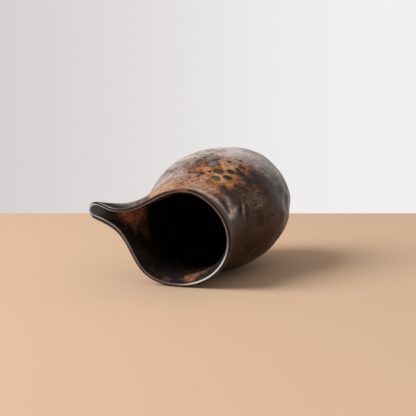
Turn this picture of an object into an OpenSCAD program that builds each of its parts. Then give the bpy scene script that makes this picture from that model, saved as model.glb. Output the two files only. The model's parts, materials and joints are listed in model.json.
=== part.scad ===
// A hand-built stoneware sake pourer with a pulled spout, lying on its side on its belly and its rim.
// The pot is drawn upright about its own axis, foot at height 0, and laid down at the end:
// +Z is up from the table, the mouth looks along -Y and the spout points to -X and a little up.
// The origin is on the table, under the middle of the flat that the belly rests on.

/* [Body] */
// Height from the foot's face to the level part of the rim
body_h = 126; // [116:1:150]
// Mean outside diameter of the belly at its widest
belly_d = 82; // [74:0.5:96]
// Height of the widest part of the belly above the foot's face
belly_z = 57; // [48:1:66]
// Mean outside diameter of the neck at its narrowest
neck_d = 60.5; // [50:0.5:64]
// How far the narrowest part of the neck lies below the rim
neck_drop = 10.6; // [8:0.1:16]
// Mean outside diameter of the rim
rim_d = 66; // [60:0.5:76]
// Mean outside diameter of the body where it stands on its base
base_d = 50; // [42:0.5:60]
// How far the paddled pot is from round, as a share of each half width
oval = 0.068; // [0:0.002:0.1]

/* [Walls] */
// Thickness of the body's wall
wall_t = 3.6; // [2.8:0.1:5]
// Thickness of the wall at the rim
lip_t = 2.6; // [2:0.1:4]
// Thickness of the base
base_t = 4.6; // [3.5:0.1:7]
// How far the bevelled coil joints climb from the outside to the inside
bevel_h = 2.4; // [0:0.1:4]

/* [Foot] */
// Outside diameter of the foot ring
foot_d = 45; // [36:0.5:48]
// Height of the foot ring
foot_h = 4; // [2.5:0.1:8]
// Width of the foot ring's face
foot_w = 5; // [3:0.1:8]

/* [Joints] */
// Height of the joint between the lower wall and the belly
belly_joint_z = 34; // [26:1:40]
// Height of the joint between the belly and the shoulder
shoulder_joint_z = 66; // [58:1:74]
// Depth below the rim of the joint between the shoulder and the neck
neck_joint_drop = 32; // [26:1:40]
// Depth below the rim of the joint between the neck and the rim coil
rim_joint_drop = 8; // [6:0.5:12]

/* [Spout] */
// Distance from the pot's axis to the tip of the spout
spout_reach = 51; // [46:0.2:62]
// Outside width of the spout at its tip
spout_tip_w = 11.2; // [8:0.2:14]
// Distance from the axis at which the channel's sides become parallel
spout_channel = 41.8; // [36:0.2:45]
// How far the spout's edge rises above the level part of the rim
spout_rise = 14; // [6:0.5:20]
// Distance from the axis at which the edge has risen fully
spout_crest = 38; // [30:0.2:44]
// How far the tip droops from that height
spout_droop = 0.9; // [0:0.1:3]
// Thickness of the wall at the spout's edge
spout_lip_t = 2.2; // [1.8:0.1:4]
// How fast the spout's reach dies away below the rim
fade_reach = 3.4; // [1.5:0.1:4]
// How fast the drawing-in at its sides dies away below the rim
fade_draw = 2.4; // [1.5:0.1:4]
// How fast the rise of its edge dies away below the rim
fade_rise = 1.4; // [1:0.1:3]
// Half of the angle of neck and rim that the spout's own clay takes up
spout_half_angle = 50; // [35:5:70]
// Half of the angle over which the pull draws the rim in
spout_pull_angle = 94; // [84:2:110]
// Angle of the spout above the horizontal as the pot lies
spout_roll = 21; // [0:1:40]

/* [Rest] */
// Depth of the flat, paddled on the belly, that the pot lies on
flat_depth = 0.6; // [0.3:0.1:1.2]

/* [Hidden] */

belly_r = belly_d / 2;
neck_r = neck_d / 2;
rim_r = rim_d / 2;
base_r = base_d / 2;
foot_r = foot_d / 2;
floor_z = foot_h + base_t;
neck_z = body_h - neck_drop;
neck_joint_z = body_h - neck_joint_drop;
rim_joint_z = body_h - rim_joint_drop;
spout_dir = 180 - spout_roll;
spout_u = [cos(spout_dir), sin(spout_dir), 0];
spout_v = [-sin(spout_dir), cos(spout_dir), 0];
// Half height of the ellipse that closes the body below the belly, so that it meets the base
tail_h = (belly_z - foot_h) / sqrt(1 - pow(base_r / belly_r, 2));

column_step = 5;        // angle between the columns of points round the wall
row_step = 4.5;         // greatest height between the rows of points
lip_steps = 4;          // facets over the rounded lip
edge_r = 1.2;           // bevel of the foot ring's edges
near = 0.5;             // short step down the wall, for its direction

clay = [0.35, 0.22, 0.15];
glaze_dark = [0.12, 0.09, 0.08];
glaze_rust = [0.45, 0.26, 0.14];

function mix(a, b, f) = a + (b - a) * f;
function unit(v) = v / norm(v);
function clamp(f) = max(0, min(1, f));
function ease(f) = let (c = clamp(f)) c * c * (3 - 2 * c);
// S curve from 0 to 1 that gets steeper with p
function s_curve(f, p) = let (c = clamp(f)) pow(c, p) / (pow(c, p) + pow(1 - c, p));

// ---- the pot before its spout is pulled ----

// Mean outside radius at height z: an ellipse up to the belly, an S to the neck, a flare to the rim
function outer_r(z) =
    z < belly_z ? belly_r * sqrt(1 - pow((belly_z - z) / tail_h, 2))
    : z < neck_z ? mix(belly_r, neck_r, ease((z - belly_z) / (neck_z - belly_z)))
    : neck_r + (rim_r - neck_r) * pow((z - neck_z) / neck_drop, 2);
function slope_r(z) = (outer_r(z + 0.05) - outer_r(z - 0.05)) / 0.1;
function inner_r(z) = outer_r(z) - wall_t * sqrt(1 + pow(slope_r(z), 2));

// The base stays round; the paddled wall is oval from the belly's joint up
function oval_at(z) = oval * ease((z - floor_z) / (belly_joint_z - floor_z));
// Point of the wall at radius r and height z, at angle a from the middle of the spout
function wall_point(r, z, a) =
    [r * (1 + oval_at(z)) * cos(spout_dir + a), r * (1 - oval_at(z)) * sin(spout_dir + a), z];

// ---- the pulled rim ----

// Edge of the rim: from the spout's tip at 0 degrees back to the round rim at the pull angle
function edge_point(a) =
    let (side = a < 0 || a > 180 ? -1 : 1,
         turn = a > 180 ? 360 - a : abs(a),
         root = wall_point(rim_r, body_h, side * spout_pull_angle),
         root_x = root * spout_u,
         root_w = abs(root * spout_v),
         f = clamp(turn / spout_pull_angle),
         x = mix(root_x, spout_reach, 1 - 2 * f * f + f * f * f),
         tip_r = spout_tip_w / 2,
         closing = clamp((x - spout_reach + tip_r) / tip_r),
         open_w = mix(tip_r, root_w, s_curve((spout_channel - x) / (spout_channel - root_x), 2)),
         w = open_w * sqrt(1 - closing * closing),
         droop = spout_droop * pow(clamp((x - spout_channel) / (spout_reach - spout_channel)), 2),
         rise = spout_rise * s_curve((x - root_x) / (spout_crest - root_x), 1.15) - droop)
    turn >= spout_pull_angle ? wall_point(rim_r, body_h, a)
    : x * spout_u + side * w * spout_v + [0, 0, body_h + rise];

// A point of the round wall moved by the pull, whose parts die away below the rim at their own rates
function pulled(p, z, a) =
    let (f = clamp((z - neck_joint_z) / neck_joint_drop),
         move = edge_point(a) - wall_point(rim_r, body_h, a))
    p + pow(f, fade_reach) * (move * spout_u) * spout_u
    + pow(f, fade_draw) * (move * spout_v) * spout_v
    + [0, 0, pow(f, fade_rise) * move[2]];

function outside(z, a) = pulled(wall_point(outer_r(z), z, a), z, a);
function out_of_wall(z, a) =
    unit(cross(outside(z, a + 1) - outside(z, a - 1), outside(z, a) - outside(z - near, a)));
function thickness(z, a) =
    let (turn = a > 180 ? 360 - a : abs(a),
         edge_t = mix(spout_lip_t, lip_t, ease(turn / spout_half_angle)))
    mix(wall_t, edge_t, ease((z - neck_joint_z) / neck_joint_drop));
// The inside follows square to the wall, but is level with the outside where it stands on the base
function inside(z, a) =
    mix(wall_point(inner_r(z), z, a),
        outside(z, a) - thickness(z, a) * out_of_wall(z, a),
        ease((z - floor_z) / (belly_joint_z - floor_z)));

// Points over the rounded lip, from outside to inside
function lip_points(a) =
    let (o = outside(body_h, a),
         i = inside(body_h, a),
         m = (o + i) / 2,
         up = unit(o - outside(body_h - near, a)) * norm(o - i) / 2)
    [for (k = [1:lip_steps - 1]) let (b = 180 * k / lip_steps) m + (o - m) * cos(b) + up * sin(b)];

// ---- how the pot lies ----

// Angle that the pot leans by when its rim and its belly both touch the table
function belly_low(t) =
    min([for (z = [belly_joint_z:0.25:neck_z]) -outer_r(z) * (1 - oval) * cos(t) - z * sin(t)]);
function rim_low(t) = -rim_r * (1 - oval) * cos(t) - body_h * sin(t);
function lean(lo, hi, n) =
    let (t = (lo + hi) / 2)
    n == 0 ? t : belly_low(t) + flat_depth < rim_low(t) ? lean(t, hi, n - 1) : lean(lo, t, n - 1);
lean_angle = lean(0, 30, 24);
lift = -rim_low(lean_angle);
// Height on the pot, and place along the table, of the middle of the belly's flat
rest_z = [for (z = [belly_joint_z:0.25:neck_z])
    if (-outer_r(z) * (1 - oval) * cos(lean_angle) - z * sin(lean_angle) <= belly_low(lean_angle)) z][0];
rest_y = outer_r(rest_z) * (1 - oval) * sin(lean_angle) - rest_z * cos(lean_angle);

module lay() translate([0, -rest_y, lift]) rotate([90 + lean_angle, 0, 0]) children();
// The same for a point of the wall, which the table flattens where it would go through
function laid(p) =
    [p[0],
     -p[1] * sin(lean_angle) - p[2] * cos(lean_angle) - rest_y,
     max(0, p[1] * cos(lean_angle) - p[2] * sin(lean_angle) + lift)];

// ---- how a piece of wall is made ----

// Pairs of heights, outside and inside, from one joint to the next
function rows(out0, in0, out1, in1) =
    let (n = ceil((out1 - out0) / row_step)) [for (k = [0:n]) [mix(out0, out1, k / n), mix(in0, in1, k / n)]];
lower_rows = rows(floor_z, floor_z, belly_joint_z, belly_joint_z + bevel_h);
belly_rows = rows(belly_joint_z, belly_joint_z + bevel_h, shoulder_joint_z, shoulder_joint_z + bevel_h);
shoulder_rows = rows(shoulder_joint_z, shoulder_joint_z + bevel_h, neck_joint_z, neck_joint_z);
neck_rows = rows(neck_joint_z, neck_joint_z, rim_joint_z, rim_joint_z + bevel_h);
rim_rows = rows(rim_joint_z, rim_joint_z + bevel_h, body_h, body_h);
spout_rows = concat(neck_rows, [for (k = [1:len(rim_rows) - 1]) rim_rows[k]]);

// A wall swept from angle a0 to a1, or all the way round, over the given rows. Each column of
// points runs up the outside, over the lip if there is one, and down the inside. Neighbours
// share their rows and columns, so their joint faces meet point for point.
module wall(a0, a1, rows, with_lip) {
    full = a1 - a0 == 360;
    spans = round((a1 - a0) / column_step);
    n = len(rows);
    over = with_lip ? lip_steps - 1 : 0;
    size = 2 * n + over;
    columns = [for (c = [0:full ? spans - 1 : spans]) let (a = mix(a0, a1, c / spans)) concat(
        [for (r = rows) outside(r[0], a)],
        with_lip ? lip_points(a) : [],
        [for (k = [n - 1:-1:0]) inside(rows[k][1], a)])];
    points = [for (column = columns) for (p = column) laid(p)];
    function at(c, k) = (full ? c % spans : c) * size + k;
    sides = [for (c = [0:spans - 1]) for (k = [0:size - 2]) each [
        [at(c, k), at(c + 1, k + 1), at(c, k + 1)],
        [at(c, k), at(c + 1, k), at(c + 1, k + 1)]]];
    underside = [for (c = [0:spans - 1]) each [
        [at(c, 0), at(c, size - 1), at(c + 1, size - 1)],
        [at(c, 0), at(c + 1, size - 1), at(c + 1, 0)]]];
    end = full ? [] : concat(
        [for (k = [0:n - 2]) each [[k, k + 1, size - 2 - k], [k, size - 2 - k, size - 1 - k]]],
        [for (k = [0:1:over - 1]) [n - 1, n + k, n + k + 1]]);
    far_end = [for (t = end) [at(spans, t[0]), at(spans, t[2]), at(spans, t[1])]];
    polyhedron(points, concat(sides, underside, end, far_end));
}

// ---- the pieces ----

// Round slab that closes the bottom
module base_disc() color(clay) lay() rotate_extrude($fn = 96)
    polygon(concat(
        [[0, foot_h]],
        [for (k = [0:3]) let (z = mix(foot_h, floor_z, k / 3)) [outer_r(z), z]],
        [[0, floor_z]]));

// Turned ring luted under the base
module foot_ring() color(clay) lay() rotate_extrude($fn = 96)
    polygon([
        [foot_r - foot_w + edge_r, 0],
        [foot_r - edge_r, 0],
        [foot_r, edge_r],
        [foot_r, foot_h],
        [foot_r - foot_w, foot_h],
        [foot_r - foot_w, edge_r]]);

// First coil, from the round base up to the belly
module lower_wall() color(glaze_dark) wall(0, 360, lower_rows, false);

// Widest coil, with the flat that the pot lies on
module belly_wall() color(glaze_dark) wall(0, 360, belly_rows, false);

// Coil that closes in from the belly to the neck
module shoulder() color(glaze_rust) wall(0, 360, shoulder_rows, false);

// Waisted coil below the rim, open where the spout is let in
module neck() color(glaze_rust) wall(spout_half_angle, 360 - spout_half_angle, neck_rows, false);

// Thin coil with the rounded lip, open at the spout too
module rim_coil() color(glaze_dark) wall(spout_half_angle, 360 - spout_half_angle, rim_rows, true);

// Pulled spout, let into the neck and the rim
module spout() color(glaze_dark) wall(-spout_half_angle, spout_half_angle, spout_rows, true);

base_disc();
foot_ring();
lower_wall();
belly_wall();
shoulder();
neck();
rim_coil();
spout();
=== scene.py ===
import json
import math

import bmesh
import bpy
import numpy as np
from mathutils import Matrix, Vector


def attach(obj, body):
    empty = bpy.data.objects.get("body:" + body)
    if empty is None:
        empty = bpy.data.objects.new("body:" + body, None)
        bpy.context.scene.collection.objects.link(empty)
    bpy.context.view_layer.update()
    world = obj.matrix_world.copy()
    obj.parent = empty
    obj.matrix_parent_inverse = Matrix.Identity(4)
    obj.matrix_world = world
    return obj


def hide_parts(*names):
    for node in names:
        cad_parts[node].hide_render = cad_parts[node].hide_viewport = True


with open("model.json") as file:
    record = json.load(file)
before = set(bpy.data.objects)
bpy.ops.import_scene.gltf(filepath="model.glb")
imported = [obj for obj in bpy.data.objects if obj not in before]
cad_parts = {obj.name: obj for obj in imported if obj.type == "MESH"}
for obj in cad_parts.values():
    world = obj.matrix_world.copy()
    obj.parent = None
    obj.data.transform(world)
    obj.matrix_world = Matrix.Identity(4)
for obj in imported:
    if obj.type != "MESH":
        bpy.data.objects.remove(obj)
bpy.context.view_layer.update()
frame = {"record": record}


# ---- The view ----
# A long lens low over the table, turned 22 degrees towards the pot's right, so that it looks
# into the mouth and along the back of the lying pot.
view_turn, view_dip = math.radians(22), math.radians(7.95)
view_distance, looked_at = 0.75, Vector((-0.0051, -0.0020, 0.0387))
camera_data = bpy.data.cameras.new("view")
camera_data.angle = math.radians(20)
camera_data.clip_start = 0.01
view = bpy.data.objects.new("view", camera_data)
view.rotation_euler = (math.radians(90) - view_dip, 0, view_turn)
view.location = looked_at + view.rotation_euler.to_matrix() @ Vector((0, 0, view_distance))
bpy.context.scene.collection.objects.link(view)
bpy.context.scene.camera = view


# ---- Base ----
# Round slab of iron-rich stoneware that closes the bottom of the pot. Its face inside the
# foot ring and the band above the ring are left bare, because glaze would stick to the shelf.
MM = 0.001
# The lying pot's foot: where its middle is, and which way the pot's axis leans, from the record
foot_face = next(m for m in frame["record"]["mounts"] if m["name"] == "foot_face")
foot_middle = Vector((0, foot_face["pos_m"][1], foot_face["pos_m"][2]))
lean_sin, lean_cos = foot_face["axis"][2], foot_face["axis"][1]


def lay(points):
    """Lays points of the upright pot, in mm, on its side on the table, in metres, foot to +Y."""
    x, y, z = points[..., 0], points[..., 1], points[..., 2]
    laid = np.stack([x * MM,
                     foot_middle.y + (-y * lean_sin - z * lean_cos) * MM,
                     foot_middle.z + (y * lean_cos - z * lean_sin) * MM], -1)
    laid[..., 2] = np.maximum(laid[..., 2], 0)
    return laid


def turned(name, profile, steps=180):
    """A piece turned about the pot's axis from a closed profile of (radius, height), foot down."""
    profile = np.array(profile, float)
    turn = np.radians(np.arange(steps) * 360 / steps)[:, None]
    points = np.stack([profile[:, 0] * np.cos(turn), profile[:, 0] * np.sin(turn),
                       np.broadcast_to(profile[:, 1], (steps, len(profile)))], -1)
    count = len(profile)
    faces = [[c * count + k, (c + 1) % steps * count + k,
              (c + 1) % steps * count + (k + 1) % count, c * count + (k + 1) % count]
             for c in range(steps) for k in range(count)]
    mesh = bpy.data.meshes.new(name)
    mesh.from_pydata(lay(points).reshape(-1, 3).tolist(), [], faces)
    solid = bmesh.new()
    solid.from_mesh(mesh)
    # Where the profile touches the axis its copies become one point
    bmesh.ops.remove_doubles(solid, verts=solid.verts, dist=1e-7)
    bmesh.ops.delete(solid, geom=[edge for edge in solid.edges if edge.is_wire], context="EDGES")
    solid.to_mesh(mesh)
    solid.free()
    mesh.polygons.foreach_set("use_smooth", [True] * len(mesh.polygons))
    piece = bpy.data.objects.new(name, mesh)
    bpy.context.scene.collection.objects.link(piece)
    return piece


def add(tree, kind, links=None, values=None, **settings):
    """Adds a shader node, sets its settings and socket values, and links its inputs."""
    made = tree.nodes.new("ShaderNode" + kind)
    for key, value in settings.items():
        setattr(made, key, value)
    for key, value in (values or {}).items():
        made.inputs[key].default_value = value
    for key, socket in (links or {}).items():
        tree.links.new(socket, made.inputs[key])
    return made


def maths(tree, operation, a, b=None, c=None, clamp=False):
    """The result of a sum whose terms are sockets or numbers."""
    made = add(tree, "Math", operation=operation, use_clamp=clamp)
    for index, value in enumerate((a, b, c)):
        if value is None:
            continue
        if isinstance(value, (int, float)):
            made.inputs[index].default_value = value
        else:
            tree.links.new(value, made.inputs[index])
    return made.outputs[0]


def between(tree, value, low, high, smooth=True):
    """0 at low, 1 at high, which may be the lower, and a rise between, soft-ended if smooth."""
    made = add(tree, "MapRange", interpolation_type="SMOOTHSTEP" if smooth else "LINEAR")
    tree.links.new(value, made.inputs["Value"])
    made.inputs["From Min"].default_value = low
    made.inputs["From Max"].default_value = high
    return made.outputs["Result"]


def blend(tree, factor, a, b, kind="RGBA"):
    """Runs from a to b, two colours or with kind FLOAT two values, as the factor rises to 1."""
    made = add(tree, "Mix", data_type=kind, clamp_factor=True)
    slots = {"RGBA": (6, 7, 2), "FLOAT": (2, 3, 0)}[kind]
    for index, value in zip((0,) + slots[:2], (factor, a, b)):
        if isinstance(value, (int, float, tuple)):
            made.inputs[index].default_value = value
        else:
            tree.links.new(value, made.inputs[index])
    return made.outputs[slots[2]]


def noise(tree, place, scale, detail=4.0, roughness=0.55, distortion=0.0):
    """A noise that fills the range from 0 to 1."""
    values = {"Scale": scale, "Detail": detail, "Roughness": roughness, "Distortion": distortion}
    made = add(tree, "TexNoise", {"Vector": place}, values)
    return between(tree, made.outputs["Fac"], 0.28, 0.72, False)


def new_material(name):
    """A material with only its Principled surface, its node tree, and that surface."""
    material = bpy.data.materials.new(name)
    material.use_nodes = True
    tree = material.node_tree
    for old in list(tree.nodes):
        tree.nodes.remove(old)
    surface = add(tree, "BsdfPrincipled")
    output = add(tree, "OutputMaterial", {"Surface": surface.outputs[0]})
    output.is_active_output = True
    return material, tree, surface


def new_group(name, inputs, outputs):
    """A node group with its sockets, (name, kind, value) going in and (name, kind) coming out."""
    group = bpy.data.node_groups.new(name, "ShaderNodeTree")
    for socket, kind, value in inputs:
        made = group.interface.new_socket(socket, in_out="INPUT", socket_type="NodeSocket" + kind)
        if value is not None:
            made.default_value = value
    for socket, kind in outputs:
        group.interface.new_socket(socket, in_out="OUTPUT", socket_type="NodeSocket" + kind)
    return group, group.nodes.new("NodeGroupInput"), group.nodes.new("NodeGroupOutput")


# Places on the pot, in metres along its own axes: X across, Y up as it lies, Z from foot to rim
pot_axes, _, pot_out = new_group("pot_axes", [], [("Place", "Vector")])
coordinates = add(pot_axes, "TexCoord")
from_foot = add(pot_axes, "VectorMath", {0: coordinates.outputs["Object"]},
                {1: tuple(foot_middle)}, operation="SUBTRACT")
turned_up = add(pot_axes, "VectorRotate", {"Vector": from_foot.outputs[0]},
                {"Axis": (1, 0, 0), "Angle": -(math.pi / 2 + math.atan2(lean_sin, lean_cos))},
                rotation_type="AXIS_ANGLE")
pot_axes.links.new(turned_up.outputs[0], pot_out.inputs["Place"])


def on_pot(tree):
    """The place on the pot, as a socket of this material."""
    return add(tree, "Group", node_tree=pot_axes).outputs["Place"]


# Iron that shows through as specks and clouds, in bare clay and in thin glaze alike
iron_specks, specks_in, specks_out = new_group(
    "iron_specks",
    [("Place", "Vector", None), ("Cloud size", "Float", 60.0), ("Speck size", "Float", 900.0)],
    [("Cloud", "Float"), ("Specks", "Float")])
cloud = add(iron_specks, "TexNoise",
            {"Vector": specks_in.outputs["Place"], "Scale": specks_in.outputs["Cloud size"]},
            {"Detail": 5.0, "Roughness": 0.62, "Distortion": 0.4})
dots = add(iron_specks, "TexVoronoi",
           {"Vector": specks_in.outputs["Place"], "Scale": specks_in.outputs["Speck size"]})
iron_specks.links.new(cloud.outputs["Fac"], specks_out.inputs["Cloud"])
iron_specks.links.new(between(iron_specks, dots.outputs["Distance"], 0.28, 0.12),
                      specks_out.inputs["Specks"])

# The bare clay: brown, clouded, with black iron specks, and dry to the touch
dark_clay, light_clay = (0.075, 0.04, 0.024, 1), (0.17, 0.092, 0.052, 1)
iron_black = (0.02, 0.012, 0.009, 1)
bare_clay, tree, surface = new_material("bare_clay")
place = on_pot(tree)
speckle = add(tree, "Group", {"Place": place}, {"Cloud size": 90.0, "Speck size": 700.0},
              node_tree=iron_specks)
grain = noise(tree, place, 1500.0, 3.0, 0.7)
clay_cloud = between(tree, speckle.outputs["Cloud"], 0.35, 0.68)
clay_colour = blend(tree, clay_cloud, dark_clay, light_clay)
clay_specks = maths(tree, "MULTIPLY", speckle.outputs["Specks"], 0.7)
clay_colour = blend(tree, clay_specks, clay_colour, iron_black)
tree.links.new(clay_colour, surface.inputs["Base Color"])
clay_rough = blend(tree, grain, 0.72, 0.9, "FLOAT")
tree.links.new(clay_rough, surface.inputs["Roughness"])
clay_relief = add(tree, "Bump", {"Height": grain}, {"Strength": 0.35, "Distance": 0.0003})
tree.links.new(clay_relief.outputs[0], surface.inputs["Normal"])

# Sizes in mm; the slab's edge is the start of the body's curve, an ellipse round the belly
foot_height, base_thickness, base_radius = 4.0, 4.6, 25.0
belly_radius, belly_height = 41.0, 57.0
tail_height = (belly_height - foot_height) / math.sqrt(1 - (base_radius / belly_radius) ** 2)
floor_height = foot_height + base_thickness
edge_steps, middle_ring = 6, 12
edge_heights = [foot_height + base_thickness * k / edge_steps for k in range(edge_steps + 1)]
base_profile = [(0, foot_height), (middle_ring, foot_height)]
base_profile += [(belly_radius * math.sqrt(1 - ((belly_height - h) / tail_height) ** 2), h)
                 for h in edge_heights]
base_profile += [(middle_ring, floor_height), (0, floor_height)]
base = turned("base", base_profile)
base.data.materials.append(bare_clay)
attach(base, "root")
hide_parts("base_disc")


# ---- Foot ring ----
# Ring turned from the same bare clay and luted under the base. The pot stands on it when it
# is upright, so its edges are softened and rubbed.
foot_outer, foot_width, foot_softening = 22.5, 5.0, 1.2


def rounded(corners, radius, steps=5):
    """A profile with each of its corners rounded to the given radius."""
    corners = [Vector(c) for c in corners]
    profile = []
    befores, afters = corners[-1:] + corners[:-1], corners[1:] + corners[:1]
    for before, corner, after in zip(befores, corners, afters):
        a = (before - corner).normalized() * radius
        b = (after - corner).normalized() * radius
        for k in range(steps + 1):
            t = k / steps
            profile.append(tuple(corner + a * (1 - t) ** 2 + b * t ** 2))
    return profile


foot_profile = rounded([(foot_outer - foot_width, 0), (foot_outer, 0), (foot_outer, foot_height),
                        (foot_outer - foot_width, foot_height)], foot_softening)
foot = turned("foot", foot_profile)
foot.data.materials.append(bare_clay)
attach(foot, "root")
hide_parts("foot_ring")


# ---- Lower wall ----
# First coil of the body, from the round base up to the belly. It is beaten thin with a paddle
# outside against the hand inside, which leaves shallow dents, and it is glazed all over.

# Sizes in mm of the whole wall. Each coil is a stretch of it, between slanted joints.
body_height, rim_radius = 126.0, 33.0
neck_height, neck_radius = 115.4, 30.25
wall_thickness, lip_thickness, spout_lip = 3.6, 2.6, 2.2
belly_joint, shoulder_joint, neck_joint, rim_joint, bevel = 34.0, 66.0, 94.0, 118.0, 2.4
oval = 0.068

# The spout's direction, the places of its channel, crest and tip on the way out, and how fast its
# parts die away below the rim
spout_turn = math.radians(159)
towards_spout = np.array([math.cos(spout_turn), math.sin(spout_turn), 0])
across_spout = np.array([-math.sin(spout_turn), math.cos(spout_turn), 0])
spout_reach, spout_tip, spout_channel = 51.0, 5.6, 41.8
spout_rise, spout_crest, spout_droop = 14.0, 38.0, 0.9
channel_curve, rise_curve = 2, 1.15
out_fade, side_fade, lift_fade = 3.4, 2.4, 1.4
pull_angle, spout_half_angle = 94.0, 50.0


def mix(a, b, f):
    """Runs from a to b as f goes from 0 to 1."""
    return a + (b - a) * f


def ease(f):
    """A rise from 0 to 1 with soft ends."""
    f = np.clip(f, 0, 1)
    return f * f * (3 - 2 * f)


def s_curve(f, power):
    """A rise from 0 to 1 that is steeper in its middle the higher the power."""
    f = np.clip(f, 0, 1)
    return f ** power / (f ** power + (1 - f) ** power)


def unit(v):
    """Vectors brought to length 1."""
    return v / np.linalg.norm(v, axis=-1, keepdims=True)


def outer_radius(h):
    """Mean outside radius: an ellipse up to the belly, an S to the neck, a flare to the rim."""
    tail = belly_radius * np.sqrt(np.clip(1 - ((belly_height - h) / tail_height) ** 2, 0, 1))
    waist = mix(belly_radius, neck_radius, ease((h - belly_height) / (neck_height - belly_height)))
    flare = ((h - neck_height) / (body_height - neck_height)) ** 2
    flare = neck_radius + (rim_radius - neck_radius) * flare
    return np.where(h < belly_height, tail, np.where(h < neck_height, waist, flare))


def inner_radius(h):
    """Mean inside radius, one wall's thickness in, measured square to the wall."""
    step = 0.05
    slope = (outer_radius(h + step) - outer_radius(h - step)) / (2 * step)
    return outer_radius(h) - wall_thickness * np.sqrt(1 + slope ** 2)


def wall_point(r, h, a):
    """Point of the paddled, slightly oval wall; a is the angle from the middle of the spout."""
    squash = oval * ease((h - floor_height) / (belly_joint - floor_height))
    a = spout_turn + np.radians(a)
    x, y = r * (1 + squash) * np.cos(a), r * (1 - squash) * np.sin(a)
    return np.stack(np.broadcast_arrays(x, y, h), -1)


def rim_edge(a):
    """Edge of the pulled rim, from the spout's tip back to the round of the rim."""
    side, turn = np.where(a < 0, -1, 1), np.abs(a)
    root = wall_point(rim_radius, body_height + 0 * a, side * pull_angle)
    root_x, root_w = root @ towards_spout, np.abs(root @ across_spout)
    f = np.clip(turn / pull_angle, 0, 1)
    # The edge runs out along the spout ever more slowly, and turns back at the tip
    x = mix(root_x, spout_reach, 1 - 2 * f * f + f ** 3)
    closing = np.clip((x - spout_reach + spout_tip) / spout_tip, 0, 1)
    opening = s_curve((spout_channel - x) / (spout_channel - root_x), channel_curve)
    width = mix(spout_tip, root_w, opening) * np.sqrt(1 - closing ** 2)
    droop = spout_droop * np.clip((x - spout_channel) / (spout_reach - spout_channel), 0, 1) ** 2
    rise = spout_rise * s_curve((x - root_x) / (spout_crest - root_x), rise_curve) - droop
    edge = (x[..., None] * towards_spout + (side * width)[..., None] * across_spout
            + (body_height + rise)[..., None] * np.array([0, 0, 1.0]))
    round_rim = wall_point(rim_radius, body_height + 0 * a, a)
    return np.where((turn >= pull_angle)[..., None], round_rim, edge)


def pulled(point, h, a):
    """The round wall moved by the pull of the spout, whose parts die away below the rim."""
    f = np.clip((h - neck_joint) / (body_height - neck_joint), 0, 1)
    move = rim_edge(a) - wall_point(rim_radius, body_height + 0 * a, a)
    out = (f ** out_fade * (move @ towards_spout))[..., None] * towards_spout
    drawn = (f ** side_fade * (move @ across_spout))[..., None] * across_spout
    lift = (f ** lift_fade * move[..., 2])[..., None] * np.array([0, 0, 1.0])
    return point + out + drawn + lift


# Glaze pools in the deeper dents: (height on the pot, angle round it, radius, and how strong a
# painted reflection of the pale room lies on its floor)
glaze_pools = [(79.5, -78, 4.0, 0.9), (86, -89, 3.0, 0.25), (94, -93, 2.3, 0.55),
               (88, -101, 2.4, 0.1), (81, -98, 2.4, 0.05), (79, -106, 2.3, 0.0),
               (98, -106, 1.7, 0.05), (72, -102, 2.0, 0.3), (74, -78, 1.5, 0.2),
               (66, -70, 1.4, 0.1), (93, -77, 1.4, 0.0), (93, -64, 1.3, 0.0),
               (72, -67, 1.4, 0.1), (65, -96, 1.6, 0.0), (90, -112, 1.2, 0.0),
               (76, -101, 1.6, 0.0), (72, -90, 1.4, 0.0), (89, -82, 1.1, 0.0)]
# Larger dents where the belly was beaten hardest: (height, angle, radius, depth)
hard_blows = [(49, -151, 8, 0.8), (37, -160, 9, 0.8), (56, -138, 8, 0.5), (38, -138, 7, 0.5),
              (46, -168, 7, 0.4), (63, -163, 9, 0.5), (33, -118, 9, 0.5), (52, -120, 9, 0.5),
              (40, -95, 9, 0.4), (76, -134, 9, 0.35), (88, -150, 9, 0.3), (95, -30, 8, 0.3),
              (84, -42, 9, 0.35), (70, -52, 9, 0.4), (30, -165, 8, 0.6), (58, 175, 10, 0.4)]
# Shallow grooves left by the fingers on the side of the neck: (height, angle) of their two ends
finger_grooves = [((110, -114), (113, -130)), ((103, -142), (98, -128)),
                  ((98, -150), (93, -131))]
groove_depth, groove_half_width = 0.4, 2.0
# The paddle's small marks: how many, where they start and how far up they go, their radius and
# depth from the least up, and the fractions that spread the four without repeating
paddle_marks, marks_from, marks_over = 150, 12, 112
mark_size, mark_size_range, mark_depth, mark_depth_range = 6.5, 3.5, 0.12, 0.16
up_fraction, round_fraction, size_fraction, depth_fraction = 0.7549, 0.5698, 0.3247, 0.6180
# The flattened side lies this much nearer the axis, and strokes are drawn on a wall of this radius
side_squash, stroke_radius = 0.92, 31


def off_round(h, a, middle_h, middle_a):
    """Distances in mm along and round the wall from a place on it."""
    turn = np.radians((a - middle_a + 180) % 360 - 180)
    return h - middle_h, turn * side_squash * outer_radius(h)


def bowl(distance):
    """Depth of a smooth dent, from 1 in its middle to 0 at its edge."""
    return np.clip(1 - distance ** 2, 0, 1) ** 2


def stroke(h, a, low, high, half_width):
    """Share of a soft stroke between two places: 1 along its middle, 0 at its sides and ends."""
    end_fade, end_share = 0.4, 0.3
    along, round_it = off_round(h, a, *low)
    turn = math.radians(high[1] - low[1])
    end = np.array([high[0] - low[0], turn * side_squash * stroke_radius])
    length = np.linalg.norm(end)
    part = (along * end[0] + round_it * end[1]) / length ** 2
    aside = (along * end[1] - round_it * end[0]) / length
    return (bowl(np.clip(aside / half_width, -1, 1)) * ease(part / end_fade + end_share)
            * ease((1 - part) / end_fade + end_share))


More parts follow.
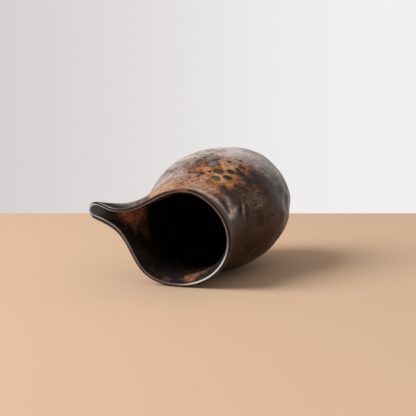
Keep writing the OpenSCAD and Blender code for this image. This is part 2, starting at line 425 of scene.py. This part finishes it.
def beaten_depth(h, a):
    """Depth of the paddle's dents, in mm, which never stand proud of the wall."""
    depth = 0 * h * a
    for k in range(paddle_marks):
        mark_h = marks_from + marks_over * ((k * up_fraction) % 1)
        along, round_it = off_round(h, a, mark_h, (k * round_fraction) % 1 * 360)
        size = mark_size + mark_size_range * ((k * size_fraction) % 1)
        deep = mark_depth + mark_depth_range * ((k * depth_fraction) % 1)
        depth = depth + deep * bowl(np.hypot(along, round_it) / size)
    for mark_h, mark_a, size, deep in hard_blows:
        along, round_it = off_round(h, a, mark_h, mark_a)
        depth = depth + deep * bowl(np.hypot(along, round_it) / size)
    for low, high in finger_grooves:
        depth = depth + groove_depth * stroke(h, a, low, high, groove_half_width)
    return depth


def pool_share(h, a, pool_reflection=False):
    """1 on the floor of a glaze pool, 0 away from it; or how strong the painted reflection on that
    floor is.
    """
    share = 0 * h * a
    shore, shore_width = (0.95, 0.5) if pool_reflection else (1.25, 0.7)
    # Waves that keep the shores from being plain ovals
    uneven = 0.12 * np.sin(0.9 * h + 0.26 * a) + 0.10 * np.sin(0.8 * h - 0.40 * a + 1.0)
    for pool_h, pool_a, radius, reflection_strength in glaze_pools:
        along, round_it = off_round(h, a, pool_h, pool_a)
        away = np.hypot(along, round_it) / radius + uneven
        within_shore = ease((shore - away) / shore_width)
        share = np.maximum(share, reflection_strength * within_shore if pool_reflection else within_shore)
    return share


# How the glaze lies, in patches: (height, angle, half length up the wall, half width round it,
# amount). Rust where it lies thin on the side that the flame reached, and dark, below 0, between;
# the last is a band all round above the foot.
rust_patches = [(102, -66, 36, 36, 0.40), (84, -70, 24, 28, 0.15), (104, -22, 14, 24, 0.24),
                (98, -90, 9, 9, 0.14), (110, -86, 9, 14, 0.26), (108, -56, 10, 12, 0.20),
                (77, -90, 6, 9, 0.42), (72, -104, 5, 6, 0.42), (84, -109, 7, 6, 0.50),
                (91, -103, 5, 6, 0.30), (88, -95, 12, 5, 0.25), (93, -112, 5, 5, 0.26),
                (104, -116, 7, 7, 0.30), (66, -88, 8, 14, 0.25), (76, -118, 18, 7, -0.10),
                (99, -111, 7, 6, -0.38), (80, -108, 5, 4, -0.25), (70, -112, 5, 4, -0.2),
                (122, -32, 7, 30, -0.6), (75, -62, 4, 7, -0.15), (87, -56, 4, 9, -0.18),
                (93, -72, 3, 7, -0.22), (84, -64, 3, 6, -0.2), (78, -48, 4, 9, -0.12),
                (100, -58, 3, 9, -0.14), (96, -46, 3, 8, -0.12), (106, -46, 3, 8, -0.12),
                (84, -148, 34, 22, 0.06), (82, -138, 9, 8, 0.03), (92, -116, 8, 6, -0.12),
                (104, 176, 26, 22, -0.04), (62, -108, 12, 10, 0.14), (52, -120, 10, 8, 0.10),
                (83, -117, 3, 5, 0.26), (74, -112, 3, 4, 0.26), (90, -121, 3, 4, 0.22),
                (77, -125, 3, 5, 0.2), (96, -111, 3, 5, 0.3), (67, -104, 3, 5, 0.2),
                (22, 60, 20, 30, 0.32), (70, 95, 16, 14, 0.35), (104, 70, 14, 16, 0.4),
                (8, 0, 6, 400, 0.26)]
# A pale film of ash that settled from above, which also carries painted sheen: the pale band
# along the top, where the glaze mirrors the pale room at a slant, and painted highlights along
# the neck's waist under the rim and on the spout's upper flank
ash_and_sheen_patches = [(54, -58, 22, 36, 0.85), (34, -74, 22, 26, 0.5), (84, -30, 24, 24, 0.56),
               (72, -50, 12, 24, 0.38), (98, -42, 20, 18, 0.46), (115, -92, 4, 26, 0.55),
               (56, -96, 16, 16, 0.32), (52, -118, 16, 14, 0.32), (40, -112, 14, 16, 0.40),
               (70, -84, 12, 14, 0.30), (106, -88, 9, 12, 0.28), (100, -70, 12, 14, 0.16),
               (108, -130, 10, 10, 0.26), (36, -30, 26, 26, 0.4), (120, -36, 5, 20, 0.36),
               (84, -134, 15, 9, 0.18)]
# Streaks of the same film: pale ones are painted highlights on the ridges by the finger grooves
# and along the neck's waist; dark ones, below 0, are painted shade along two of the grooves and
# dark streaks of glaze elsewhere: (one end, the other end, half width, amount)
ash_and_highlight_streaks = [((116, -139), (102, -132), 2.8, 0.85), ((110, -133), (103, -113), 2.4, 0.7),
               ((101, -149), (95, -128), 1.6, 0.7), ((118, -72), (115, -127), 2.0, 0.5),
               ((113, -130), (110, -114), 1.9, -0.9), ((103, -142), (98, -128), 1.1, -0.35),
               ((64, -124), (46, -130), 2.0, -0.3), ((60, -112), (44, -116), 1.6, -0.2),
               ((63, -30), (80, -62), 1.6, -0.35), ((70, -24), (92, -52), 1.6, -0.4),
               ((60, -50), (72, -80), 1.4, -0.35), ((50, -52), (60, -84), 1.6, -0.35),
               ((56, -40), (68, -68), 1.2, -0.3)]


def lying(patches, h, a, streaks=()):
    """Sum of soft-edged patches and streaks at places on the wall."""
    patch_slope = 1.7
    total = 0 * h * a
    for low, high, half_width, amount in streaks:
        total = total + amount * stroke(h, a, low, high, half_width)
    for patch_h, patch_a, half_length, half_width, amount in patches:
        along, round_it = off_round(h, a, patch_h, patch_a)
        nearness = 1 - np.hypot(along / half_length, round_it / half_width)
        total = total + amount * ease(nearness * patch_slope)
    return total


def outside(h, a):
    """Outside of the wall before its dents."""
    return pulled(wall_point(outer_radius(h), h, a), h, a)


def out_of_wall(h, a):
    """Direction square out of the wall."""
    step_a, step_h = 1, 0.5
    around = outside(h, a + step_a) - outside(h, a - step_a)
    return unit(np.cross(around, outside(h, a) - outside(h - step_h, a)))


def thickness(h, a):
    """Thickness of the wall, which thins from the neck to the lip."""
    edge = mix(spout_lip, lip_thickness, ease(np.abs(a) / spout_half_angle))
    return mix(wall_thickness, edge, ease((h - neck_joint) / (body_height - neck_joint)))


# The dents begin to die away at this height, over so much, and grow over so much above the base.
# The pools dent the wall this deep, and all of it is set in by a hair.
dents_end, dents_fade, dents_rise, pool_depth, set_in = 112, 13, 6, 0.32, 0.06


def dented(h, a):
    """Outside of the wall with its dents and pools, which fade out at the rim."""
    fade, rise = 1 - ease((h - dents_end) / dents_fade), ease((h - floor_height) / dents_rise)
    depth = (beaten_depth(h, a) * fade + pool_depth * pool_share(h, a)) * rise + set_in
    return outside(h, a) - depth[..., None] * out_of_wall(h, a)


def inside(h, a):
    """Inside of the wall: round at the floor, and one thickness in from the outside above."""
    followed = outside(h, a) - thickness(h, a)[..., None] * out_of_wall(h, a)
    return mix(wall_point(inner_radius(h), h, a), followed,
               ease((h - floor_height) / (belly_joint - floor_height))[..., None])


def surface_normals(shape, h, a, outwards):
    """Normals of a surface of the laid pot, from its slopes round and up the wall."""
    step = 0.25
    around = lay(shape(h, a + step)) - lay(shape(h, a - step))
    up = lay(shape(np.minimum(h + step, body_height), a)) - lay(shape(h - step, a))
    return unit(np.cross(around, up)) * (1 if outwards else -1)


# The lip's fineness, how square it is and how far it bulges, and the height of a row of faces
lip_steps, lip_squareness, lip_bulge, row_height = 12, 0.78, 0.85, 0.8


def rounded_lip(out_edge, in_edge, just_below):
    """Points and normals of the lip from outer to inner edge, and how far over they lie."""
    middle = (out_edge + in_edge) / 2
    along, across = unit(out_edge - just_below), unit(out_edge - in_edge)
    half = np.linalg.norm(out_edge - in_edge, axis=-1, keepdims=True) / 2
    b = (np.pi * np.arange(1, lip_steps) / lip_steps)[None, :, None]
    side, over, up = np.sign(np.cos(b)), np.abs(np.cos(b)), np.sin(b)
    points = lay(middle + half * (across * side * over ** lip_squareness
                                  + along * lip_bulge * up ** lip_squareness))
    laid_across = unit(lay(middle + across) - lay(middle))
    laid_along = unit(lay(middle + along) - lay(middle))
    normals = unit(laid_across * side * over ** (2 - lip_squareness)
                   + laid_along * up ** (2 - lip_squareness))
    return points, normals, np.broadcast_to((b / np.pi)[..., 0], points.shape[:2])


def new_mesh(name, vertices, faces, normals, flat_faces=()):
    """A piece from its points and faces, with the surface's true normals but on its flat faces."""
    mesh = bpy.data.meshes.new(name)
    mesh.from_pydata(vertices.reshape(-1, 3).tolist(), [], faces)
    mesh.polygons.foreach_set("use_smooth", [True] * len(mesh.polygons))
    corners = np.empty(len(mesh.loops), int)
    mesh.loops.foreach_get("vertex_index", corners)
    corner_normals = normals.reshape(-1, 3)[corners]
    for index in flat_faces:
        polygon = mesh.polygons[index]
        corner_normals[list(polygon.loop_indices)] = polygon.normal
    mesh.normals_split_custom_set(corner_normals.tolist())
    piece = bpy.data.objects.new(name, mesh)
    bpy.context.scene.collection.objects.link(piece)
    return piece


def coil(name, turn_from, turn_to, outer_from, outer_to, inner_from, inner_to, with_lip=False):
    """A closed piece of the wall between two joints: outside, lip if any, inside, joint faces."""
    whole = turn_to - turn_from == 360
    spans = round(turn_to - turn_from)
    rows = max(6, round((outer_to - outer_from) / row_height))
    turns = turn_from + np.arange(spans if whole else spans + 1) * (turn_to - turn_from) / spans
    a = ((turns + 180) % 360 - 180)[:, None]
    outer_h = np.linspace(outer_from, outer_to, rows + 1)[None, :] + 0 * a
    inner_h = np.linspace(inner_to, inner_from, rows + 1)[None, :] + 0 * a
    a = a + 0 * outer_h
    out_points, in_points = dented(outer_h, a), inside(inner_h, a)
    parts = [(lay(out_points), surface_normals(dented, outer_h, a, True), 0 * outer_h)]
    if with_lip:
        just_below = dented(outer_h[:, -1:] - 0.5, a[:, -1:])
        parts.append(rounded_lip(out_points[:, -1:], in_points[:, :1], just_below))
    parts.append((lay(in_points), surface_normals(inside, inner_h, a, False), 0 * inner_h + 1))
    points, normals, inner_share = (np.concatenate(part, 1) for part in zip(*parts))

    # Faces between neighbouring columns; the ones across the joints are flat
    columns, size = points.shape[:2]
    faces, flat = [], []
    for c in range(spans):
        one, two = c * size, (c + 1) % columns * size
        for k in range(size):
            n = (k + 1) % size
            if k == size - 1 or (k == rows and not with_lip):
                flat.append(len(faces))
            faces.append([one + k, two + k, two + n, one + n])
    # The two cut ends of a coil that is open at the spout
    for start, turned_round in () if whole else ((0, False), (spans * size, True)):
        end_faces = [[start + k, start + k + 1, start + size - 2 - k, start + size - 1 - k]
                     for k in range(rows)]
        if with_lip:
            end_faces.append([start + k for k in range(rows, rows + lip_steps + 1)])
        for face in end_faces:
            flat.append(len(faces))
            faces.append(face[::-1] if turned_round else face)
    piece = new_mesh(name, points, faces, normals, flat)

    # What the glaze does at each point, the same inside as at the outer edge of its column
    laid_on = {"pool": pool_share,
               "pool_reflection": lambda h, a: pool_share(h, a, True),
               "dent": beaten_depth,
               "rust": lambda h, a: lying(rust_patches, h, a),
               "ash_and_sheen": lambda h, a: lying(ash_and_sheen_patches, h, a, ash_and_highlight_streaks)}
    shares = {"inner": inner_share}
    for key, amount in laid_on.items():
        shares[key] = np.zeros(points.shape[:2])
        shares[key][:, :rows + 1] = amount(outer_h, a)
        shares[key][:, rows + 1:] = shares[key][:, rows:rows + 1]
    for key, values in shares.items():
        layer = piece.data.attributes.new(key, "FLOAT", "POINT")
        layer.data.foreach_set("value", values.reshape(-1).astype(np.float32))
    return piece


def patch(tree, place, h, a, around, along, from_inside=False):
    """How near a point is to a place on the pot: 0 at the edge of the patch, 1 in its middle."""
    shape = inside if from_inside else outside
    middle = shape(np.array([float(h)]), np.array([float(a)]))[0] * MM
    away = add(tree, "VectorMath", {0: place}, {1: tuple(middle)}, operation="SUBTRACT")
    per_reach = (1 / (around * MM), 1 / (around * MM), 1 / (along * MM))
    scaled = add(tree, "VectorMath", {0: away.outputs[0]}, {1: per_reach}, operation="MULTIPLY")
    length = add(tree, "VectorMath", {0: scaled.outputs[0]}, operation="LENGTH")
    return maths(tree, "SUBTRACT", 1.0, length.outputs["Value"])


def centred(tree, value, strength):
    """A pattern about 0, at the given strength."""
    return maths(tree, "MULTIPLY_ADD", value, strength, -0.5 * strength)


def shade_along(tree, value, stops):
    """A colour that runs through the stops as the value rises from 0 to 1."""
    made = add(tree, "ValToRGB", {"Fac": value})
    ramp = made.color_ramp
    for element, (position, shade) in zip(ramp.elements, (stops[0], stops[-1])):
        element.position, element.color = position, (*shade, 1)
    for position, shade in stops[1:-1]:
        ramp.elements.new(position).color = (*shade, 1)
    return made.outputs["Color"]


# Colours of the wall's glaze, an iron glaze that is black-brown where it is thick and breaks to
# rust and tan where it is thin: first from thick to thin, outside and inside, then of its parts,
# some of which are painted sheen, highlights and reflections
outer_shades = [(0.0, (0.012, 0.007, 0.004)), (0.14, (0.033, 0.015, 0.009)),
                (0.28, (0.064, 0.031, 0.018)), (0.42, (0.098, 0.045, 0.025)),
                (0.54, (0.19, 0.058, 0.017)), (0.70, (0.28, 0.098, 0.030)),
                (0.85, (0.36, 0.165, 0.065)), (1.0, (0.44, 0.26, 0.13))]
inner_shades = [(0.0, (0.022, 0.019, 0.020)), (0.20, (0.036, 0.027, 0.024)),
                (0.40, (0.095, 0.055, 0.040)), (0.62, (0.18, 0.074, 0.040)),
                (0.82, (0.30, 0.118, 0.056)), (1.0, (0.38, 0.16, 0.075))]
# The ash film's colours, pale in part as painted sheen
thin_ash_and_sheen, thick_ash_and_sheen = (0.30, 0.22, 0.185, 1), (0.43, 0.34, 0.295, 1)
speck_brown, halo_rust = (0.040, 0.019, 0.011, 1), (0.25, 0.075, 0.016, 1)
# The pools' black glaze, and the grey of the painted reflection on their floors
pool_black, pool_reflection_grey = (0.013, 0.011, 0.009, 1), (0.17, 0.15, 0.115, 1)
# A painted bluish reflection inside the spout's tip
spout_blue_reflection = (0.085, 0.105, 0.135, 1)
lip_black, lip_rust = (0.026, 0.019, 0.016, 1), (0.16, 0.058, 0.034, 1)
# The lip's pale edges, in part painted highlights, and the white of its painted highlight
thin_edge_and_highlight_tan, highlight_white = (0.30, 0.22, 0.19, 1), (0.62, 0.62, 0.64, 1)

# What is written on the mesh, and three sizes of pattern, drawn out a little up the wall
iron_glaze, tree, surface = new_material("iron_glaze")
place = on_pot(tree)
inner, pool, pool_reflection, dent, rust, ash_and_sheen = (add(tree, "Attribute", attribute_name=name).outputs["Fac"]
                                      for name in ("inner", "pool", "pool_reflection", "dent", "rust", "ash_and_sheen"))
runs = add(tree, "Mapping", {"Vector": place}, {"Scale": (1, 1, 0.55)}).outputs[0]
clouds = noise(tree, runs, 75.0, 5.0, 0.62, 0.7)
blots = noise(tree, runs, 220.0, 4.0, 0.6, 0.8)
fine = noise(tree, runs, 700.0, 4.0, 0.65, 0.6)

# How thin the glaze lies: its mottling is strongest where it broke to rust
mottling = maths(tree, "ADD", centred(tree, clouds, 0.40), centred(tree, blots, 0.55))
mottling = maths(tree, "ADD", mottling, centred(tree, fine, 0.58))
lively = blend(tree, between(tree, rust, 0.03, 0.26), 0.36, 1.15, "FLOAT")
thin = maths(tree, "MULTIPLY_ADD", mottling, lively, maths(tree, "ADD", rust, 0.17))
thin = maths(tree, "MULTIPLY_ADD", dent, -0.12, thin)
colour = shade_along(tree, thin, outer_shades)

# Over it the film of ash, which also carries painted sheen and highlights, and in the rust specks
# of iron
film_and_sheen = maths(tree, "MULTIPLY_ADD", mottling, between(tree, ash_and_sheen, 0.0, 0.3), ash_and_sheen)
film_and_sheen = between(tree, film_and_sheen, 0.10, 1.15, False)
ash_and_sheen_colour = blend(tree, between(tree, film_and_sheen, 0.45, 0.95), thin_ash_and_sheen, thick_ash_and_sheen)
colour = blend(tree, film_and_sheen, colour, ash_and_sheen_colour)
iron = add(tree, "Group", {"Place": runs}, {"Cloud size": 60.0, "Speck size": 480.0},
           node_tree=iron_specks)
in_clouds = between(tree, iron.outputs["Cloud"], 0.42, 0.62)
specks = maths(tree, "MULTIPLY", iron.outputs["Specks"], in_clouds)
in_rust = maths(tree, "MULTIPLY", between(tree, rust, 0.1, 0.4), 0.75)
colour = blend(tree, maths(tree, "MULTIPLY", specks, in_rust), colour, speck_brown)

# The pools, each with a rusty halo, dark, with a painted pale reflection on the floors of a few
rust_there = maths(tree, "MULTIPLY_ADD", rust, 1.2, 0.0, True)
halo = maths(tree, "MULTIPLY", between(tree, pool, 0.0, 0.12), rust_there)
colour = blend(tree, halo, colour, halo_rust)
in_pool = between(tree, maths(tree, "ADD", pool, centred(tree, fine, 0.25)), 0.15, 0.6)
reflection_share = maths(tree, "MULTIPLY", pool_reflection, blend(tree, blots, 0.55, 1.1, "FLOAT"))
colour = blend(tree, in_pool, colour, blend(tree, reflection_share, pool_black, pool_reflection_grey))

# Inside the glaze lies thick and black, but for thin places near the mouth and in the spout, with
# dark runs over them: (height, angle, reach round the wall, reach up it, amount)
thin_inside = [(122, 124, 8, 7, 0.76), (118, 137, 10, 5, 0.55), (114, -4, 18, 24, 0.76),
               (119, -16, 10, 12, 0.30), (101, 14, 18, 17, 0.44), (101, 30, 12, 14, 0.2),
               (124, 96, 5, 4, 0.25)]
dark_runs = [(124, 22, 14, 12, 0.8), (122, 44, 12, 12, 0.6)]
inner_thin = maths(tree, "ADD", mottling, 0.02)
for *where, amount in thin_inside:
    near = between(tree, patch(tree, place, *where, from_inside=True), 0.0, 0.75)
    inner_thin = maths(tree, "MULTIPLY_ADD", near, amount, inner_thin)
for *where, amount in dark_runs:
    near = between(tree, patch(tree, place, *where, from_inside=True), 0.0, 0.5)
    inner_thin = maths(tree, "MULTIPLY_ADD", near, -amount, inner_thin)
# Inside the spout's tip lies a painted bluish reflection
spout_tip_place = patch(tree, place, 125, 0, 14, 10, from_inside=True)
blue_reflection = between(tree, maths(tree, "ADD", spout_tip_place, centred(tree, blots, 0.5)), 0.0, 0.8)
inner_colour = blend(tree, blue_reflection, shade_along(tree, inner_thin, inner_shades), spout_blue_reflection)
within = between(tree, inner, 0.72, 0.95)
colour = blend(tree, within, colour, inner_colour)

# The lip: dark, with rust stretches, and pale at its two edges, partly where the glaze drew back
# and partly as painted highlights. A painted highlight makes it palest where it touches the table
# and at the spout's upper edge.
on_lip = maths(tree, "MULTIPLY", between(tree, inner, 0.0, 0.12), between(tree, inner, 1.0, 0.9))
rusty_place = patch(tree, place, 127, -82, 17, 17)
rusty = maths(tree, "MULTIPLY_ADD", rusty_place, 0.5, centred(tree, clouds, 0.9))
rusty = between(tree, maths(tree, "ADD", rusty, centred(tree, blots, 0.9)), 0.2, 0.5)
inner_edge = maths(tree, "MULTIPLY",
                   between(tree, inner, 0.52, 0.70), between(tree, inner, 0.94, 0.82))
outer_edge = maths(tree, "MULTIPLY",
                   between(tree, inner, 0.06, 0.14), between(tree, inner, 0.30, 0.20))
# The painted highlight's two places on the lip
lip_highlight_place = maths(tree, "MAXIMUM",
               patch(tree, place, 127, 152, 27, 27), patch(tree, place, 126, -22, 14, 14))
lip_highlight_place = between(tree, lip_highlight_place, 0.0, 0.6)
edge_paleness_and_highlight = blend(tree, lip_highlight_place, blend(tree, clouds, 0.3, 0.75, "FLOAT"), 1.0, "FLOAT")
edges = maths(tree, "MULTIPLY_ADD", outer_edge, 0.5, inner_edge)
pale_edges_and_highlight = maths(tree, "MULTIPLY", edges, edge_paleness_and_highlight)
lip_colour = blend(tree, pale_edges_and_highlight, blend(tree, rusty, lip_black, lip_rust),
                   blend(tree, lip_highlight_place, thin_edge_and_highlight_tan, highlight_white))
colour = blend(tree, on_lip, colour, lip_colour)
tree.links.new(colour, surface.inputs["Base Color"])

# A satin skin, drier where thin, and glassy in the pools, on the lip and inside; the ash film,
# which also carries painted sheen, adds a soft bloom of its own
satin, dry, glassy_pool, glassy_inside, glassy_lip = 0.30, 0.42, 0.12, 0.2, 0.16
rough = blend(tree, between(tree, thin, 0.1, 0.7), satin, dry, "FLOAT")
rough = maths(tree, "ADD", rough, centred(tree, blots, 0.1))
rough = blend(tree, in_pool, rough, glassy_pool, "FLOAT")
rough = blend(tree, within, rough, glassy_inside, "FLOAT")
rough = blend(tree, on_lip, rough, glassy_lip, "FLOAT")
tree.links.new(rough, surface.inputs["Roughness"])
surface.inputs["Specular IOR Level"].default_value = 0.11
surface.inputs["Specular Tint"].default_value = (1.0, 0.76, 0.58, 1)
bloom = maths(tree, "MULTIPLY", film_and_sheen, maths(tree, "SUBTRACT", 1.0, within))
tree.links.new(bloom, surface.inputs["Coat Weight"])
surface.inputs["Coat Roughness"].default_value = 0.4
height = maths(tree, "ADD", blots, maths(tree, "MULTIPLY", fine, 0.35))
height = maths(tree, "MULTIPLY", height, maths(tree, "SUBTRACT", 1.0, in_pool))
relief = add(tree, "Bump", {"Height": height}, {"Strength": 0.18, "Distance": 0.0005})
tree.links.new(relief.outputs[0], surface.inputs["Normal"])

lower = coil("lower_coil", -180, 180, floor_height, belly_joint, floor_height, belly_joint + bevel)
lower.data.materials.append(iron_glaze)
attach(lower, "root")
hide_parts("lower_wall")


# ---- Belly ----
# Widest coil of the body, of the same stoneware, pressed onto the slanted edge of the lower wall
# and beaten flat on one side, where the pot lies on the table.
belly = coil("belly_coil", -180, 180, belly_joint, shoulder_joint,
             belly_joint + bevel, shoulder_joint + bevel)
belly.data.materials.append(iron_glaze)
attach(belly, "root")
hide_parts("belly_wall")


# ---- Shoulder ----
# Coil that closes in from the belly to the neck, luted on and smoothed over. The glaze broke to
# rust on its upper side and pooled in the dents there.
shoulder = coil("shoulder_coil", -180, 180, shoulder_joint, neck_joint,
                shoulder_joint + bevel, neck_joint)
shoulder.data.materials.append(iron_glaze)
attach(shoulder, "root")
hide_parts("shoulder")


# ---- Neck ----
# Waisted coil under the rim, squeezed in by hand, with grooves from the fingers on its side, and
# cut open where the spout is let in.
neck = coil("neck_coil", spout_half_angle, 360 - spout_half_angle, neck_joint, rim_joint,
            neck_joint, rim_joint + bevel)
neck.data.materials.append(iron_glaze)
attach(neck, "root")
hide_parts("neck")


# ---- Rim ----
# Last thin coil of the same clay, luted onto the neck and smoothed over with a wet leather into a
# rounded lip. It is open at the spout.
rim = coil("rim_lip", spout_half_angle, 360 - spout_half_angle, rim_joint, body_height,
           rim_joint + bevel, body_height, with_lip=True)
rim.data.materials.append(iron_glaze)
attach(rim, "root")
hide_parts("rim_coil")


# ---- Spout ----
# Clay let into the neck and rim, whose cut ends hold its two side faces, and pulled out between
# finger and thumb into an open channel with a thin lip.
spout = coil("pulled_spout", -spout_half_angle, spout_half_angle, neck_joint, body_height,
             neck_joint, body_height, with_lip=True)
spout.data.materials.append(iron_glaze)
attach(spout, "root")
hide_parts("spout")


# ---- Table, background and light ----
# A plain pale table top whose back edge lies behind the pot, a pale room whose wall carries
# painted shade, darker to the left, one large soft lamp high on the left and in front, and a weak
# one far behind on the right. The table's top is a hair under the pot, so that the two don't
# share a face.
back_edge, reach, hair_under = 0.245, 2.0, 0.00005
rightwards = np.array([math.cos(view_turn), math.sin(view_turn)])
backwards = np.array([-math.sin(view_turn), math.cos(view_turn)])
corners = [rightwards * x + backwards * y for x, y in
           ((-reach, -reach), (reach, -reach), (reach, back_edge), (-reach, back_edge))]
table_mesh = bpy.data.meshes.new("table")
table_mesh.from_pydata([(x, y, -hair_under) for x, y in corners], [], [[0, 1, 2, 3]])
table = bpy.data.objects.new("table", table_mesh)
bpy.context.scene.collection.objects.link(table)
table_top, tree, surface = new_material("table_top")
surface.inputs["Base Color"].default_value = (0.63, 0.45, 0.31, 1)
surface.inputs["Roughness"].default_value = 0.7
surface.inputs["Specular IOR Level"].default_value = 0.1
table_mesh.materials.append(table_top)

room_light, room_strength = (1.0, 0.86, 0.76, 1), 0.42
# The wall's colour in painted shade at the left, and lit at the right
shaded_wall_left, lit_wall_right = (0.68, 0.645, 0.64, 1), (0.88, 0.865, 0.87, 1)
world = bpy.data.worlds.new("room")
world.use_nodes = True
tree = world.node_tree
for old in list(tree.nodes):
    tree.nodes.remove(old)
# What lights the pot is warm and dim; what is seen, straight or mirrored, is a pale wall with
# painted shade that darkens it towards the left
path = add(tree, "LightPath")
seen = maths(tree, "MAXIMUM", path.outputs["Is Camera Ray"], path.outputs["Is Glossy Ray"])
seen = maths(tree, "MAXIMUM", seen, path.outputs["Is Transmission Ray"])
lit = add(tree, "Background", values={"Color": room_light, "Strength": room_strength})
direction = add(tree, "TexCoord")
sideways = add(tree, "VectorMath", {0: direction.outputs["Generated"]}, {1: (*rightwards, 0)},
               operation="DOT_PRODUCT")
across_wall = between(tree, sideways.outputs["Value"], -0.2, 0.15)
wall_colour = blend(tree, across_wall, shaded_wall_left, lit_wall_right)
shown = add(tree, "Background", {"Color": wall_colour}, {"Strength": 1.0})
both = add(tree, "MixShader", {0: seen, 1: lit.outputs[0], 2: shown.outputs[0]})
add(tree, "OutputWorld", {"Surface": both.outputs[0]})
bpy.context.scene.world = world


def soft_lamp(name, place, size, power):
    """A round lamp turned towards the pot, its place and size in metres, its power in watts."""
    lamp = bpy.data.lights.new(name, "AREA")
    lamp.shape = "DISK"
    lamp.size = size
    lamp.energy = power
    holder = bpy.data.objects.new(name, lamp)
    holder.location = place
    pot_middle = Vector((0, 0, 0.04))
    holder.rotation_euler = (Vector(place) - pot_middle).to_track_quat("Z", "Y").to_euler()
    bpy.context.scene.collection.objects.link(holder)


soft_lamp("window", (-1.0, -0.86, 1.15), 1.2, 35)
soft_lamp("far_wall", (1.2, 1.4, 1.2), 2.4, 3)

bpy.context.scene.view_settings.view_transform = "Standard"
